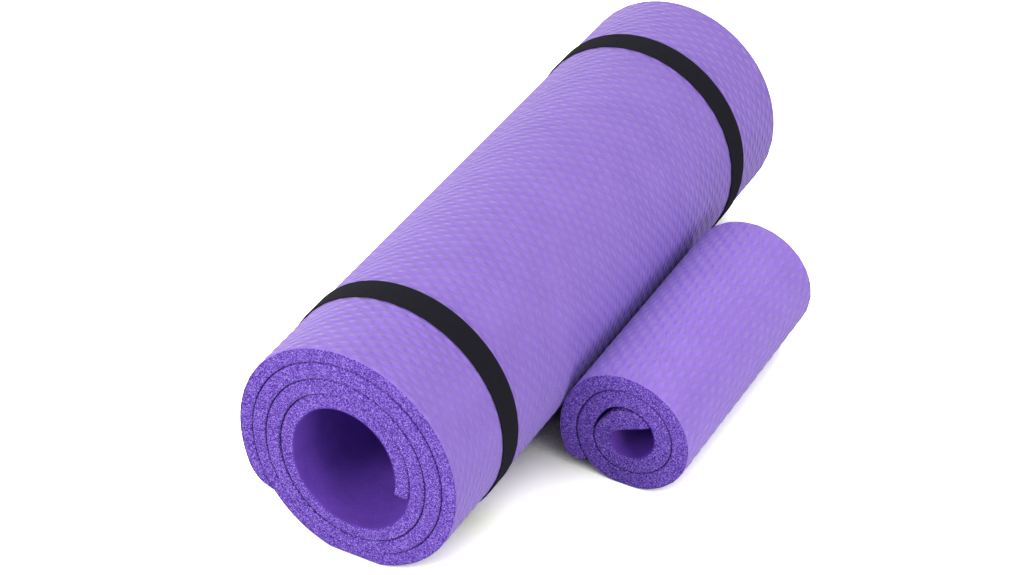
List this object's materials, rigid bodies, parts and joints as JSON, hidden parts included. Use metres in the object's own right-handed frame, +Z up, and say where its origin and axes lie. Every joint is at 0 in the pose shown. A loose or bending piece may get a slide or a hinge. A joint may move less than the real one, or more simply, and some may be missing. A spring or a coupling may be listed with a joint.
{
  "type": "rolled exercise mat set",
  "caption": "Thick foam exercise mat rolled into a spiral and held by elastic strap loops, with a smaller rolled foam knee pad lying beside it.",
  "frame": {"origin": "the middle of the flat on the underside of the mat roll, where it rests on the floor", "axes": "+Y runs along the mat roll, +X points from the mat roll to the knee pad, +Z is up"},
  "size_m": [0.3254, 0.61, 0.216],
  "materials": {
    "mat_foam": "soft closed-cell rubber foam with an embossed skin and open-cell cut ends",
    "knee_pad_foam": "the same foam, with its embossed pattern turned a quarter turn",
    "strap_webbing": "matte woven elastic webbing",
    "thread": "polyester sewing thread"
  },
  "bodies": {
    "mat_roll": {"mat": "mat_foam"},
    "front_strap_loop": {"front_strap": "strap_webbing", "front_strap_stitching": "thread"},
    "rear_strap_loop": {"rear_strap": "strap_webbing", "rear_strap_stitching": "thread"},
    "knee_pad_roll": {"knee_pad": "knee_pad_foam"}
  },
  "joints": [
    {"name": "front_strap_slide", "type": "slide", "parent": "mat_roll", "child": "front_strap_loop", "axis": [0, -1, 0], "range_m": [-0.125, 0.15]},
    {"name": "rear_strap_slide", "type": "slide", "parent": "mat_roll", "child": "rear_strap_loop", "axis": [0, 1, 0], "range_m": [-0.125, 0.15]},
    {"name": "knee_pad_slide", "type": "slide", "parent": "mat_roll", "child": "knee_pad_roll", "axis": [1, 0, 0], "range_m": [0, 0.25]}
  ]
}
